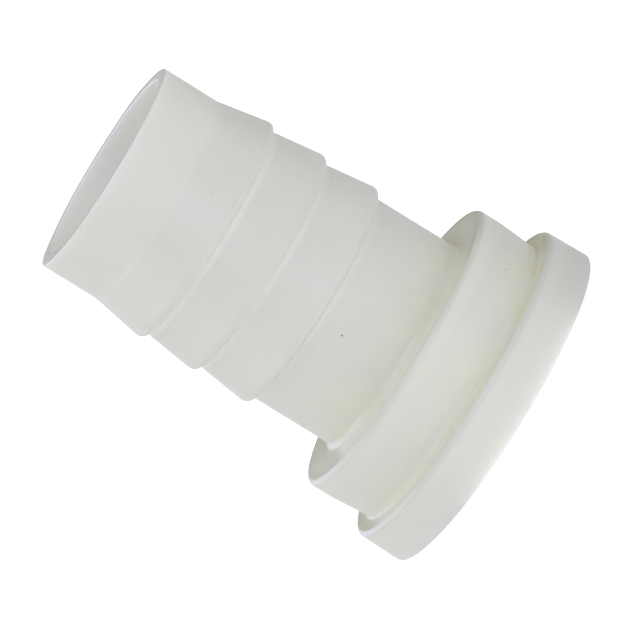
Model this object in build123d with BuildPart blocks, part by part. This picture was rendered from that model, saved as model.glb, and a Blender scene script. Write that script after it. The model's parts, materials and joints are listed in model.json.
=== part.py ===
from build123d import *

import os

# Flanged hose tail of a thru-hull fitting, with the seal in its face. Millimetres.
# The origin is the centre of the flange's front face, and +Z runs along the bore to the hose's end.

# Waterway and overall length
BORE_DIAMETER = 32.8
OVERALL_LENGTH = 75.0
MOUTH_ROUND = 0.2
BORE_CHAMFER = 0.15

# Flange, drafted so that its front face is the widest circle of the fitting
FLANGE_DIAMETER = 58.3
FLANGE_THICKNESS = 8.0
FLANGE_DRAFT = 0.23
FLANGE_FRONT_ROUND = 0.5
FLANGE_BACK_ROUND = 0.8

# Collar between flange and barrel: a straight land that centres it, relieved towards the flange
COLLAR_DIAMETER = 52.3
COLLAR_LENGTH = 11.4
COLLAR_LAND = 4.5
COLLAR_RELIEF = 0.55
COLLAR_ROUND = 0.9
SEAT_FILLET = 0.5
BARREL_FILLET = 1.0

# Hose barrel: plain behind the barbs, three barbs, then a straight nose that starts the hose
BARREL_DIAMETER = 38.0
NOSE_DIAMETER = 37.4
NOSE_LENGTH = 10.2
BARB_COUNT = 3
BARB_PITCH = 10.0
BARB_CREST_DIAMETER = 41.0
BARB_ROOT_DIAMETER = 38.4
BARB_CREST_ROUND = 1.0

# Face seal: a round-section ring that stands proud of its groove until the joint is pulled up
SEAL_INNER_DIAMETER = 42.0
SEAL_SECTION = 3.5
GROOVE_DEPTH = 2.7
GROOVE_WIDTH = 4.6
SEAL_CLEARANCE = 0.02

bore_radius = BORE_DIAMETER / 2
flange_radius = FLANGE_DIAMETER / 2
collar_radius = COLLAR_DIAMETER / 2
collar_foot_radius = collar_radius - COLLAR_RELIEF
barrel_radius = BARREL_DIAMETER / 2
nose_radius = NOSE_DIAMETER / 2
crest_radius = BARB_CREST_DIAMETER / 2
root_radius = BARB_ROOT_DIAMETER / 2
seal_radius = (SEAL_INNER_DIAMETER + SEAL_SECTION) / 2
groove_outer_radius = SEAL_INNER_DIAMETER / 2 + SEAL_SECTION + SEAL_CLEARANCE

collar_top = FLANGE_THICKNESS + COLLAR_LENGTH
nose_foot = OVERALL_LENGTH - NOSE_LENGTH
first_step = nose_foot - BARB_COUNT * BARB_PITCH


def barb_points():
    """Corners of the barbs from the flange end up: a square step out to each crest, then a long taper."""
    points = []
    for barb in range(BARB_COUNT):
        step = first_step + barb * BARB_PITCH
        taper_end = nose_radius if barb == BARB_COUNT - 1 else root_radius
        points += [(crest_radius, step), (taper_end, step + BARB_PITCH)]
    return points


# The one-piece moulding, turned about the bore's axis
with BuildPart() as hose_tail:
    with BuildSketch(Plane.XZ) as wall_section:
        with BuildLine():
            Polyline(
                (bore_radius, 0),
                (flange_radius, 0),
                (flange_radius - FLANGE_DRAFT, FLANGE_THICKNESS),
                (collar_foot_radius, FLANGE_THICKNESS),
                (collar_radius, collar_top - COLLAR_LAND),
                (collar_radius, collar_top),
                (barrel_radius, collar_top),
                (barrel_radius, first_step),
                *barb_points(),
                (nose_radius, OVERALL_LENGTH),
                (bore_radius, OVERALL_LENGTH),
                close=True,
            )
        make_face()

        corners = wall_section.vertices()
        crests = corners.filter_by_position(Axis.X, crest_radius - 0.01, crest_radius + 0.01)
        fillet(crests, BARB_CREST_ROUND)

        def round_corner(radius, height, size):
            """Rounds the section's corner nearest to a place in it."""
            fillet(wall_section.vertices().sort_by_distance((radius, height))[0], size)

        round_corner(flange_radius, 0, FLANGE_FRONT_ROUND)
        round_corner(flange_radius - FLANGE_DRAFT, FLANGE_THICKNESS, FLANGE_BACK_ROUND)
        round_corner(collar_foot_radius, FLANGE_THICKNESS, SEAT_FILLET)
        round_corner(collar_radius, collar_top, COLLAR_ROUND)
        round_corner(barrel_radius, collar_top, BARREL_FILLET)
        round_corner(nose_radius, OVERALL_LENGTH, MOUTH_ROUND)
    revolve(axis=Axis.Z)

    bore_edges = hose_tail.edges().filter_by(
        lambda edge: edge.geom_type == GeomType.CIRCLE and abs(edge.radius - bore_radius) < 0.01
    )
    chamfer(bore_edges, BORE_CHAMFER)

    # The groove's outer wall holds the seal against pressure from the bore
    with BuildSketch() as groove_ring:
        Circle(groove_outer_radius)
        Circle(groove_outer_radius - GROOVE_WIDTH, mode=Mode.SUBTRACT)
    extrude(amount=GROOVE_DEPTH, mode=Mode.SUBTRACT)

# The rubber ring, resting on the groove's floor
with BuildPart() as face_seal:
    with BuildSketch(Plane.XZ):
        with Locations((seal_radius, GROOVE_DEPTH - SEAL_CLEARANCE - SEAL_SECTION / 2)):
            Circle(SEAL_SECTION / 2)
    revolve(axis=Axis.Z)

hose_tail.part.label = "hose_tail"
face_seal.part.label = "face_seal"

os.makedirs("parts", exist_ok=True)
export_step(hose_tail.part, "parts/hose_tail.step")
export_step(face_seal.part, "parts/face_seal.step")
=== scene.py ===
import json
import math

import bmesh
import bpy
from mathutils import Matrix, Vector, noise


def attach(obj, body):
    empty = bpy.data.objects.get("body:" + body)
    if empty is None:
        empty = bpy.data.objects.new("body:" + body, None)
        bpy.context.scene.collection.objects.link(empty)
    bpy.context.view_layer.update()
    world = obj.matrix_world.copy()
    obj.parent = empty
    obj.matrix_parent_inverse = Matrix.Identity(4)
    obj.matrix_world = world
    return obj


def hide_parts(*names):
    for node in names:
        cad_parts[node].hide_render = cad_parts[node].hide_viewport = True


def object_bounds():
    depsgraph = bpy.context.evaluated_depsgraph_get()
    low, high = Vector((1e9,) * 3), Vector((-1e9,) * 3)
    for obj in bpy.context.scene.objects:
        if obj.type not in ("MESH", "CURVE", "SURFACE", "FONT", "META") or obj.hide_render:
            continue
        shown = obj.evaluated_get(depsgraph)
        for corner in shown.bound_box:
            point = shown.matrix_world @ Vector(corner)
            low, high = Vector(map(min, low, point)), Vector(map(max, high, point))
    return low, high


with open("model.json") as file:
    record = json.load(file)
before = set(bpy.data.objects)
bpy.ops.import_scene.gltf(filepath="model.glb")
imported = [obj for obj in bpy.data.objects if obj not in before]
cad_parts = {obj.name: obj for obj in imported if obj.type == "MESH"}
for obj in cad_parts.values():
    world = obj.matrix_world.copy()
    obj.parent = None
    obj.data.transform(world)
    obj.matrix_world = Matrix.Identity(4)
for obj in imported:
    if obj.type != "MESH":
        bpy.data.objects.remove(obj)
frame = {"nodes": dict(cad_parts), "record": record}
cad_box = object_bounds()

# Flanged hose tail of a thru-hull fitting, standing on its flange. Metres, Z up.
# Both pieces are turned afresh from the CAD frame's own outlines. The moulding gets the marks that
# moulding leaves, and each piece gets a material built from nodes.

MM = 0.001
LOWEST, HIGHEST = cad_box
HEIGHT = HIGHEST[2]
MOUNTS = {mount["name"]: mount for mount in frame["record"]["mounts"]}
BORE_RADIUS = MOUNTS["bore"]["dims"]["r_mm"] * MM

# Turning: columns round the axis, and how closely points follow one another along the outline.
# An even column within the clearance of a seam, a share of a step, gives way to the seam's narrow ones.
# Supports are points close to both ends of a span, no further along it than the support share.
COLUMNS = 96
SEAM_CLEARANCE = 0.6
LONGEST_SPAN = 3.0 * MM
CORNER_SUPPORTS = (0.12 * MM, 1.2 * MM)
SUPPORT_SHARE = 0.4
STRAIGHT = math.radians(1)
WELD = 0.001 * MM

# Moulding marks: shallow sinks, and a parting line down each side, where two mould halves would meet.
# On the moulding, azimuths run from +X.
PARTING_AZIMUTHS = (math.radians(12), math.radians(192))
PARTING_HEIGHT = 0.05 * MM
PARTING_HALF_WIDTH = 0.16 * MM
PARTING_OFF_BORE = 1.5 * MM
PARTING_FOOT = 0.5 * MM
SINK_DEPTH = 0.05 * MM
SINK_LENGTH = 22 * MM

# The mouth's rim is slightly uneven: a high spot and a low spot, each an azimuth, a rise and a spread
RIM_REACH = 3.0 * MM
RIM_DIP = 0.12 * MM
RIM_HIGH = (math.radians(52), 0.12 * MM, math.radians(16))
RIM_LOW = (math.radians(140), -0.16 * MM, math.radians(24))

# What the material reads from the moulding's shape: its edges, which get painted shade outside and painted
# light inside, and how deep in one of its two big corners a point lies, where it gets a painted yellow
# shade.
# Corners are given as (radius, height).
EDGE_REACH = 0.8 * MM
EDGE_FULL = 0.5 * MM
BARB_EDGE = 0.5
# The bore takes most of the painted light, a paler colour, all along its wall
BORE_EDGE = -0.85
BORE_SKIN = 0.3 * MM
OUTSIDE_SKIN = 0.5 * MM
FLANGE_SEAT = MOUNTS["flange_seat"]["pos_m"][2]
COLLAR_FOOT = (25.7 * MM, FLANGE_SEAT)
BARREL_FOOT = (19.0 * MM, 19.4 * MM)
CORNER_REACH = 11 * MM
SEAT_MARGIN = 0.1 * MM


# ---------------------------------------------------------------- turned meshes


def half_section(node):
    """A turned CAD node's outline on the +X side of the XZ plane, as (radius, height) points in order."""
    cut = bmesh.new()
    cut.from_mesh(frame["nodes"][node].data)
    bmesh.ops.bisect_plane(
        cut,
        geom=cut.verts[:] + cut.edges[:] + cut.faces[:],
        plane_co=(0, 0, 0),
        plane_no=(0, 1, 0),
        clear_inner=True,
        clear_outer=True,
    )
    bmesh.ops.remove_doubles(cut, verts=cut.verts, dist=WELD)
    first = max(cut.verts, key=lambda vertex: vertex.co.x)
    outline = []
    vertex, arrived_by = first, None
    while not outline or vertex is not first:
        outline.append((vertex.co.x, vertex.co.z))
        arrived_by = next(edge for edge in vertex.link_edges if edge is not arrived_by)
        vertex = arrived_by.other_vert(vertex)
    cut.free()
    return outline if signed_area(outline) > 0 else outline[::-1]


def signed_area(outline):
    """Area inside the outline, positive where it runs from +radius towards +height."""
    pairs = zip(outline, outline[1:] + outline[:1])
    return sum(r0 * z1 - r1 * z0 for (r0, z0), (r1, z1) in pairs) / 2


def corners_of(outline):
    """The outline without the points that lie part of the way along a straight stretch."""
    corners = []
    for before, here, after in zip(outline[-1:] + outline[:-1], outline, outline[1:] + outline[:1]):
        arriving = math.atan2(here[1] - before[1], here[0] - before[0])
        leaving = math.atan2(after[1] - here[1], after[0] - here[0])
        if abs(math.remainder(leaving - arriving, 2 * math.pi)) > STRAIGHT:
            corners.append(here)
    return corners


def refined(outline):
    """The same outline with more points: some close to each end of a long span, and even ones between."""
    points = []
    for (r0, z0), (r1, z1) in zip(outline, outline[1:] + outline[:1]):
        length = math.hypot(r1 - r0, z1 - z0)
        near = [gap / length for gap in CORNER_SUPPORTS if gap < SUPPORT_SHARE * length]
        shares = [0.0, *near]
        if near:
            middle = 1 - 2 * near[-1]
            count = math.ceil(length * middle / LONGEST_SPAN)
            shares += [near[-1] + middle * i / count for i in range(1, count)]
            shares += [1 - share for share in reversed(near)]
        points += [(r0 + (r1 - r0) * share, z0 + (z1 - z0) * share) for share in shares]
    return points


def column_azimuths(seams=()):
    """Even azimuths round the axis, with three narrow columns in place of the nearest ones at each seam."""
    step = 2 * math.pi / COLUMNS
    clearance = SEAM_CLEARANCE * step
    azimuths = [i * step for i in range(COLUMNS)]
    for seam in seams:
        azimuths = [a for a in azimuths if abs(math.remainder(a - seam, 2 * math.pi)) > clearance]
        half = PARTING_HALF_WIDTH / BORE_RADIUS
        azimuths += [seam - half, seam, seam + half]
    return sorted(azimuths)


def turned_piece(name, outline, azimuths, shape=None):
    """A closed quad mesh: the outline turned about Z, with each point moved by the shape function."""
    mesh = bpy.data.meshes.new(name)
    points = []
    for azimuth in azimuths:
        for radius, height in outline:
            r, z = shape(radius, azimuth, height) if shape else (radius, height)
            points.append((r * math.cos(azimuth), r * math.sin(azimuth), z))
    around, along = len(azimuths), len(outline)
    faces = []
    for i in range(around):
        here, there = i * along, (i + 1) % around * along
        for j in range(along):
            k = (j + 1) % along
            faces.append((here + j, there + j, there + k, here + k))
    mesh.from_pydata(points, [], faces)
    mesh.polygons.foreach_set("use_smooth", [True] * len(faces))
    piece = bpy.data.objects.new(name, mesh)
    bpy.context.scene.collection.objects.link(piece)
    smooth = piece.modifiers.new("smooth", "SUBSURF")
    smooth.levels = smooth.render_levels = 1
    return piece


def bump(azimuth, centre, size, spread):
    """A smooth rise of the given size at one azimuth, fading out over its spread."""
    away = math.remainder(azimuth - centre, 2 * math.pi) / spread
    return size * math.exp(-away * away)


def moulded(radius, azimuth, height):
    """The radius and height of a point of the moulding, once its small faults have moved it."""
    place = Vector((radius * math.cos(azimuth), radius * math.sin(azimuth), height))
    r = radius - SINK_DEPTH * (0.5 + 0.5 * noise.noise(place / SINK_LENGTH))
    if radius > BORE_RADIUS + PARTING_OFF_BORE and height > PARTING_FOOT:
        spread = PARTING_HALF_WIDTH / radius
        r += sum(bump(azimuth, seam, PARTING_HEIGHT, spread) for seam in PARTING_AZIMUTHS)
    near_rim = max(0.0, 1 - (HEIGHT - height) / RIM_REACH)
    z = height - near_rim * (RIM_DIP - bump(azimuth, *RIM_HIGH) - bump(azimuth, *RIM_LOW))
    return r, z


def outer_radius(outline, height):
    """The outline's largest radius at a height."""
    radii = [0.0]
    for (r0, z0), (r1, z1) in zip(outline, outline[1:] + outline[:1]):
        if min(z0, z1) - WELD <= height <= max(z0, z1) + WELD:
            share = (height - z0) / (z1 - z0) if abs(z1 - z0) > WELD else 1.0
            radii.append(r0 + (r1 - r0) * min(1.0, max(0.0, share)))
    return max(radii)


# Edge values drive painted shade on outside edges and painted light in inside ones and in the bore
def edge_at(outline, radius, height):
    """1 on an outside edge and -1 in an inside one, as far as the outline stands off its neighbours.

    A barb's edge, which faces the flange, gets less, and the bore has one value all along.
    """
    if radius < BORE_RADIUS + BORE_SKIN:
        return BORE_EDGE
    here = outer_radius(outline, height)
    above = outer_radius(outline, height + EDGE_REACH)
    below = outer_radius(outline, height - EDGE_REACH)
    if radius < here - OUTSIDE_SKIN or min(above, below) == 0.0:
        return 0.0
    highest = BARB_EDGE if above > below else 1.0
    return max(-1.0, min(highest, (here - (above + below) / 2) / EDGE_FULL))


def corner_at(radius, height):
    """1 in the corners behind the flange and behind the collar, fading out along their walls."""
    if height < FLANGE_SEAT - SEAT_MARGIN:
        return 0.0
    gap = min(math.dist((radius, height), corner) for corner in (BARREL_FOOT, COLLAR_FOOT))
    share = min(1.0, gap / CORNER_REACH)
    return (1 - share) ** 2 * (1 + 2 * share)


def keep_on_vertices(piece, name, values, columns):
    """Keeps a value for each outline point on the vertices of every column, for the material to read."""
    layer = piece.data.attributes.new(name, "FLOAT", "POINT")
    layer.data.foreach_set("value", values * columns)


# ---------------------------------------------------------------- materials


def new_material(name):
    """An empty node material, with its node tree and its one Principled shader."""
    material = bpy.data.materials.new(name)
    material.use_nodes = True
    tree = material.node_tree
    return material, tree, tree.nodes["Principled BSDF"]


def add_node(tree, kind, values=None, **settings):
    """A node with its settings, and its inputs set by name."""
    node = tree.nodes.new(kind)
    for key, value in settings.items():
        setattr(node, key, value)
    for key, value in (values or {}).items():
        node.inputs[key].default_value = value
    return node


def attribute(tree, name):
    """A number kept on the mesh's vertices."""
    return add_node(tree, "ShaderNodeAttribute", attribute_name=name).outputs["Fac"]


def object_place(tree):
    """The point being shaded, in the piece's own frame, in metres."""
    return add_node(tree, "ShaderNodeTexCoord").outputs["Object"]


def axes_of(tree, place):
    """A place's X, Y and Z outputs."""
    axes = add_node(tree, "ShaderNodeSeparateXYZ")
    tree.links.new(place, axes.inputs[0])
    return axes.outputs


def noise_at(tree, place, scale, detail=2.0, roughness=0.5):
    """A noise texture's value at a place, 0 to 1. The scale is in cells per metre."""
    values = {"Scale": scale, "Detail": detail, "Roughness": roughness}
    texture = add_node(tree, "ShaderNodeTexNoise", values)
    tree.links.new(place, texture.inputs["Vector"])
    return texture.outputs["Fac"]


def fine_relief(tree, shader, height, strength):
    """Gives a shader a shallow bump from a height value."""
    relief = add_node(tree, "ShaderNodeBump", {"Strength": strength, "Distance": RELIEF_DEPTH})
    tree.links.new(height, relief.inputs["Height"])
    tree.links.new(relief.outputs["Normal"], shader.inputs["Normal"])


def ranged(tree, value, low, high, to_low, to_high):
    """A value moved from one range to another, and kept inside it."""
    node = add_node(tree, "ShaderNodeMapRange")
    for i, number in enumerate((low, high, to_low, to_high), start=1):
        node.inputs[i].default_value = number
    tree.links.new(value, node.inputs[0])
    return node.outputs[0]


def multiplied(tree, first, second):
    """Two values multiplied."""
    node = add_node(tree, "ShaderNodeMath", operation="MULTIPLY")
    tree.links.new(first, node.inputs[0])
    tree.links.new(second, node.inputs[1])
    return node.outputs[0]


def mixed(tree, share, first, second, blend="MIX"):
    """Two colours, or outputs that carry colours, mixed by a share."""
    node = add_node(tree, "ShaderNodeMix", data_type="RGBA", blend_type=blend)
    for socket, value in zip((node.inputs[0], node.inputs[6], node.inputs[7]), (share, first, second)):
        if isinstance(value, bpy.types.NodeSocket):
            tree.links.new(value, socket)
        else:
            socket.default_value = value
    return node.outputs[2]


RELIEF_DEPTH = 0.02 * MM
NOISE_MIDDLE = (0.3, 0.7)

# Uncoloured nylon: its plain colour, what it turns to in clouds, its painted yellow shade for corners, and
# its painted light for inside edges and the bore
NYLON = (0.77, 0.76, 0.65, 1)
NYLON_CLOUD = (0.75, 0.74, 0.62, 1)
NYLON_PAINTED_SHADE = (0.835, 0.82, 0.62, 1)
NYLON_PAINTED_LIGHT = (0.905, 0.895, 0.785, 1)
NYLON_IOR = 1.53
NYLON_ROUGHNESS = (0.30, 0.40)
SCATTER_LENGTH = 4 * MM
SCATTER_COLOUR = (1.0, 1.0, 0.9)
# Painted shade on outside edges darkens the colour by this share
EDGE_SHADE = 0.15

# Noise scales in cells per metre, and the noise values between which clouds go from none to full
CLOUD_SCALE = 70
CLOUD_RANGE = (0.35, 0.75)
CLOUD_FULL = 0.6
# Blotches break up the painted yellow shade in the corners
BLOTCH_SCALE = 130
BLOTCH_LEAST = 0.25
POLISH_SCALE = 160
GRAIN_SCALE = 2600
GRAIN_STRENGTH = 0.25

# The painted yellow shade grows from the -X side, towards the left lights, to the +X side, away from them
SHADED_SIDE_FROM, SHADED_SIDE_TO = -20 * MM, 25 * MM
SHADED_SIDE_LEAST, SHADED_SIDE_MOST = 0.6, 1.1

# Specks sit in one cell of ten, and fade out between two distances from its middle, in cells
SPECK_COLOUR = (0.12, 0.10, 0.07, 1)
SPECK_SCALE = 350
SPECK_CHANCE = 0.9
SPECK_INNER, SPECK_OUTER = 0.035, 0.07


def natural_nylon():
    """Uncoloured nylon: milky, with light inside its walls, painted light in inside edges and the bore,
    painted shade on outside edges, and painted yellow shade in its two big corners.
    """
    material, tree, shader = new_material("natural_nylon")
    place = object_place(tree)

    cloud = ranged(tree, noise_at(tree, place, CLOUD_SCALE, 3), *CLOUD_RANGE, 0.0, CLOUD_FULL)
    colour = mixed(tree, cloud, NYLON, NYLON_CLOUD)
    edge = attribute(tree, "edge")
    # Painted light: inside edges and the bore turn paler
    colour = mixed(tree, ranged(tree, edge, -1, 0, 1.0, 0.0), colour, NYLON_PAINTED_LIGHT)
    # Painted yellow shade in the two big corners, stronger on the side away from the left lights
    colour = mixed(tree, painted_corner_shade(tree, place), colour, NYLON_PAINTED_SHADE)
    # Painted shade: outside edges turn darker
    shade = ranged(tree, edge, 0, 1, 1.0, 1 - EDGE_SHADE)
    colour = mixed(tree, 1.0, colour, shade, blend="MULTIPLY")
    colour = mixed(tree, specks(tree, place), colour, SPECK_COLOUR)
    tree.links.new(colour, shader.inputs["Base Color"])

    shader.inputs["Subsurface Weight"].default_value = 1.0
    shader.inputs["Subsurface Radius"].default_value = SCATTER_COLOUR
    shader.inputs["Subsurface Scale"].default_value = SCATTER_LENGTH
    shader.inputs["IOR"].default_value = NYLON_IOR

    rough = ranged(tree, noise_at(tree, place, POLISH_SCALE, 4), *NOISE_MIDDLE, *NYLON_ROUGHNESS)
    tree.links.new(rough, shader.inputs["Roughness"])
    fine_relief(tree, shader, noise_at(tree, place, GRAIN_SCALE), GRAIN_STRENGTH)
    return material


def painted_corner_shade(tree, place):
    """How much painted yellow shade a point gets: blotches in the big corners, and more on the +X side,
    away from the left lights.
    """
    shaded_side = ranged(tree, axes_of(tree, place)["X"], SHADED_SIDE_FROM, SHADED_SIDE_TO, SHADED_SIDE_LEAST, SHADED_SIDE_MOST)
    blotch = ranged(tree, noise_at(tree, place, BLOTCH_SCALE), *NOISE_MIDDLE, BLOTCH_LEAST, 1.0)
    return multiplied(tree, multiplied(tree, attribute(tree, "corner"), blotch), shaded_side)


def specks(tree, place):
    """1 inside a few pinhead specks of burnt plastic, and 0 elsewhere."""
    cells = add_node(tree, "ShaderNodeTexVoronoi", {"Scale": SPECK_SCALE, "Randomness": 1.0})
    tree.links.new(place, cells.inputs["Vector"])
    chance = add_node(tree, "ShaderNodeSeparateColor")
    tree.links.new(cells.outputs["Color"], chance.inputs["Color"])
    chosen = add_node(tree, "ShaderNodeMath", {1: SPECK_CHANCE}, operation="GREATER_THAN")
    tree.links.new(chance.outputs["Red"], chosen.inputs[0])
    near = ranged(tree, cells.outputs["Distance"], SPECK_INNER, SPECK_OUTER, 1.0, 0.0)
    return multiplied(tree, near, chosen.outputs[0])


RUBBER = (0.012, 0.012, 0.013, 1)
RUBBER_BLOOM = (0.05, 0.05, 0.048, 1)
RUBBER_ROUGHNESS = (0.42, 0.62)
BLOOM_SCALE = 220
BLOOM_RANGE = (0.45, 0.8)
BLOOM_FULL = 0.6
MOTTLE_SCALE = 400
RUBBER_GRAIN_SCALE = 1800
RUBBER_GRAIN_STRENGTH = 0.3


def seal_rubber():
    """Black nitrile rubber: matt, faintly mottled, with a dusting of grey bloom."""
    material, tree, shader = new_material("seal_rubber")
    place = object_place(tree)
    bloom = ranged(tree, noise_at(tree, place, BLOOM_SCALE, 5, 0.65), *BLOOM_RANGE, 0.0, BLOOM_FULL)
    tree.links.new(mixed(tree, bloom, RUBBER, RUBBER_BLOOM), shader.inputs["Base Color"])
    rough = ranged(tree, noise_at(tree, place, MOTTLE_SCALE, 3), *NOISE_MIDDLE, *RUBBER_ROUGHNESS)
    tree.links.new(rough, shader.inputs["Roughness"])
    fine_relief(tree, shader, noise_at(tree, place, RUBBER_GRAIN_SCALE, 3), RUBBER_GRAIN_STRENGTH)
    return material


# ---------------------------------------------------------------- the two pieces


def build_hose_tail():
    """The one-piece nylon moulding, in place of its CAD node."""
    outline = refined(corners_of(half_section("hose_tail")))
    azimuths = column_azimuths(PARTING_AZIMUTHS)
    tail = turned_piece("hose_tail_moulding", outline, azimuths, moulded)
    # The edge values carry painted shade and painted light
    keep_on_vertices(tail, "edge", [edge_at(outline, *point) for point in outline], len(azimuths))
    # The corner values carry the painted yellow shade
    keep_on_vertices(tail, "corner", [corner_at(*point) for point in outline], len(azimuths))
    tail.data.materials.append(natural_nylon())
    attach(tail, "root")
    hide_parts("hose_tail")


def build_face_seal():
    """The rubber ring in the flange's face, in place of its CAD node."""
    outline = half_section("face_seal")
    seal = turned_piece("face_seal_ring", outline, column_azimuths())
    seal.data.materials.append(seal_rubber())
    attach(seal, "root")
    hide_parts("face_seal")


build_hose_tail()
build_face_seal()

# ---------------------------------------------------------------- stage, light and camera

# A pale table top, with a lift that makes it white where the camera sees it
FLOOR_SIZE = 30.0
FLOOR_LIFT = 0.8
PAPER_SCALE = 3
PAPER_TONE = (0.93, 0.95)
PAPER_ROUGHNESS = 0.9

# On the stage, azimuths are in degrees, 0 in front of the part and positive to its right.
# The table glows a little round the part, out to a distance in metres, and more in front of it. The
# glow in front lies between two azimuths, and is weaker near the part than further out.
TABLE_GLOW = 0.08
FRONT_GLOW = 0.6
GLOW_COLOUR = (0.95, 1.0, 1.08, 1)
GLOW_FULL, GLOW_EDGE = 0.6, 0.8
FRONT_GLOW_NEAR, FRONT_GLOW_FAR = 0.1, 0.45
NEAR_SHARE = 0.45
FRONT_GLOW_FROM, FRONT_GLOW_TO = -28, 42
FRONT_GLOW_SOFTNESS = 8

# Soft boxes in a warm, dim room, which is white where the camera sees it
ROOM_LIGHT = 0.14
ROOM_COLOUR = (1.0, 0.96, 0.6, 1)
WHITE = (1, 1, 1, 1)
COOL = (0.94, 1.0, 1.42)
NEUTRAL = (1.0, 1.0, 1.0)
SOFT_BOXES = {
    "front_box": {"azimuth": 8, "elevation": 38, "strength": 1.18, "softness": 50, "colour": COOL},
    "left_box": {"azimuth": -95, "elevation": 20, "strength": 0.82, "softness": 65, "colour": NEUTRAL},
    "window": {"azimuth": -100, "elevation": 28, "strength": 0.2, "softness": 14, "colour": COOL},
    "back_left_box": {"azimuth": -150, "elevation": 20, "strength": 0.6, "softness": 50, "colour": COOL},
    "right_box": {"azimuth": 88, "elevation": 30, "strength": 0.3, "softness": 60, "colour": NEUTRAL},
    "ceiling_box": {"azimuth": 0, "elevation": 85, "strength": 0.38, "softness": 60, "colour": NEUTRAL},
}


def front_angles(azimuth):
    """The two angles from +X, in radians, between which the glow in front steps up or down."""
    middle = math.radians(azimuth - 90)
    soft = math.radians(FRONT_GLOW_SOFTNESS)
    return middle - soft, middle + soft


def pale_floor():
    """A pale table top. It looks white to the camera, and glows on the part from below."""
    floor_mesh = bpy.data.meshes.new("floor")
    half = FLOOR_SIZE / 2
    low = LOWEST[2]
    corners = [(-half, -half, low), (half, -half, low), (half, half, low), (-half, half, low)]
    floor_mesh.from_pydata(corners, [], [(0, 1, 2, 3)])
    floor = bpy.data.objects.new("floor", floor_mesh)
    bpy.context.scene.collection.objects.link(floor)
    floor_mesh.materials.append(floor_paper())


def floor_paper():
    """Matt pale paper, which glows on the part and is lifted to white for the camera."""
    material, tree, shader = new_material("floor_paper")
    place = object_place(tree)
    tone = ranged(tree, noise_at(tree, place, PAPER_SCALE), *NOISE_MIDDLE, *PAPER_TONE)
    grey = add_node(tree, "ShaderNodeCombineColor")
    for channel in ("Red", "Green", "Blue"):
        tree.links.new(tone, grey.inputs[channel])
    tree.links.new(grey.outputs["Color"], shader.inputs["Base Color"])
    shader.inputs["Roughness"].default_value = PAPER_ROUGHNESS

    camera_sees = add_node(tree, "ShaderNodeLightPath").outputs["Is Camera Ray"]
    strength = add_node(tree, "ShaderNodeMix", {3: FLOOR_LIFT})
    tree.links.new(camera_sees, strength.inputs[0])
    tree.links.new(table_glow(tree, place), strength.inputs[2])
    tree.links.new(strength.outputs[0], shader.inputs["Emission Strength"])
    shader.inputs["Emission Color"].default_value = GLOW_COLOUR
    material.cycles.emission_sampling = "NONE"
    return material


def table_glow(tree, place):
    """How strongly the table glows at a place: weakly round the part, and more in front of it."""
    away = add_node(tree, "ShaderNodeVectorMath", {1: (0, 0, LOWEST[2])}, operation="DISTANCE")
    tree.links.new(place, away.inputs[0])
    distance = away.outputs["Value"]
    round_part = ranged(tree, distance, GLOW_FULL, GLOW_EDGE, 1.0, 0.0)

    axes = axes_of(tree, place)
    azimuth = add_node(tree, "ShaderNodeMath", operation="ARCTAN2")
    tree.links.new(axes["Y"], azimuth.inputs[0])
    tree.links.new(axes["X"], azimuth.inputs[1])
    left = ranged(tree, azimuth.outputs[0], *front_angles(FRONT_GLOW_FROM), 0.0, 1.0)
    right = ranged(tree, azimuth.outputs[0], *front_angles(FRONT_GLOW_TO), 1.0, 0.0)
    further = ranged(tree, distance, FRONT_GLOW_NEAR, FRONT_GLOW_FAR, NEAR_SHARE, 1.0)
    in_front = multiplied(tree, multiplied(tree, left, right), further)
    here = ranged(tree, in_front, 0, 1, TABLE_GLOW, TABLE_GLOW + FRONT_GLOW)
    return multiplied(tree, round_part, here)


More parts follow.
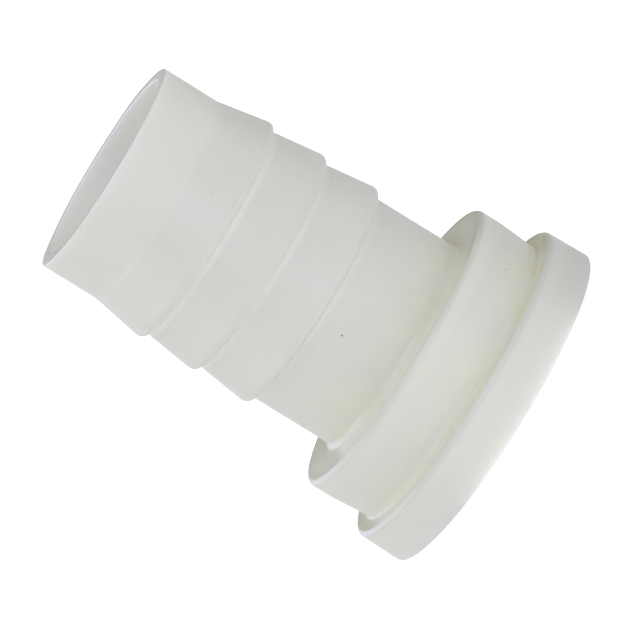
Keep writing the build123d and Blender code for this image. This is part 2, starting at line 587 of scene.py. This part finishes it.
def dim_room():
    """A dim, warm room all round, which is white where the camera sees it."""
    world = bpy.data.worlds.new("studio")
    world.use_nodes = True
    tree = world.node_tree
    backdrop = tree.nodes["Background"]
    camera_sees = add_node(tree, "ShaderNodeLightPath").outputs["Is Camera Ray"]
    tree.links.new(mixed(tree, camera_sees, ROOM_COLOUR, WHITE), backdrop.inputs["Color"])
    tree.links.new(ranged(tree, camera_sees, 0, 1, ROOM_LIGHT, 1.0), backdrop.inputs["Strength"])
    bpy.context.scene.world = world


def soft_box(name, azimuth, elevation, strength, softness, colour):
    """A soft light from far away. Softness is how wide it looks from the part; angles are in degrees."""
    lamp = bpy.data.lights.new(name, "SUN")
    lamp.energy = strength
    lamp.color = colour
    lamp.angle = math.radians(softness)
    light = bpy.data.objects.new(name, lamp)
    bpy.context.scene.collection.objects.link(light)
    light.matrix_world = facing_matrix(azimuth, elevation)


def facing_matrix(azimuth, elevation, roll=0.0):
    """Turns a thing that looks along its own -Z to look from an azimuth and elevation, in degrees."""
    turn = Matrix.Rotation(math.radians(azimuth), 4, "Z")
    tip = Matrix.Rotation(math.radians(90 - elevation), 4, "X")
    return turn @ tip @ Matrix.Rotation(math.radians(roll), 4, "Z")


# The camera: angles in degrees, distance in metres, and its lens and sensor in millimetres
VIEW_ELEVATION = 8.517
VIEW_ROLL = -58.29
VIEW_DISTANCE = 1.1335
VIEW_LENS = 393.96
SENSOR_WIDTH = 36
AIM_HEIGHT = 31.77 * MM
AIM_SIDE = -2.64 * MM


def long_lens_camera():
    """Far off and a little above the flange, tilted so that the tail lies across the picture."""
    lens = bpy.data.cameras.new("camera")
    lens.lens = VIEW_LENS
    lens.sensor_width = SENSOR_WIDTH
    camera = bpy.data.objects.new("camera", lens)
    bpy.context.scene.collection.objects.link(camera)
    facing = facing_matrix(0, VIEW_ELEVATION, VIEW_ROLL)
    aim = Vector((AIM_SIDE, 0, AIM_HEIGHT))
    camera.matrix_world = Matrix.Translation(aim) @ facing @ Matrix.Translation((0, 0, VIEW_DISTANCE))
    bpy.context.scene.camera = camera


pale_floor()
dim_room()
for box_name, box in SOFT_BOXES.items():
    soft_box(box_name, **box)
long_lens_camera()

bpy.context.scene.view_settings.view_transform = "Standard"
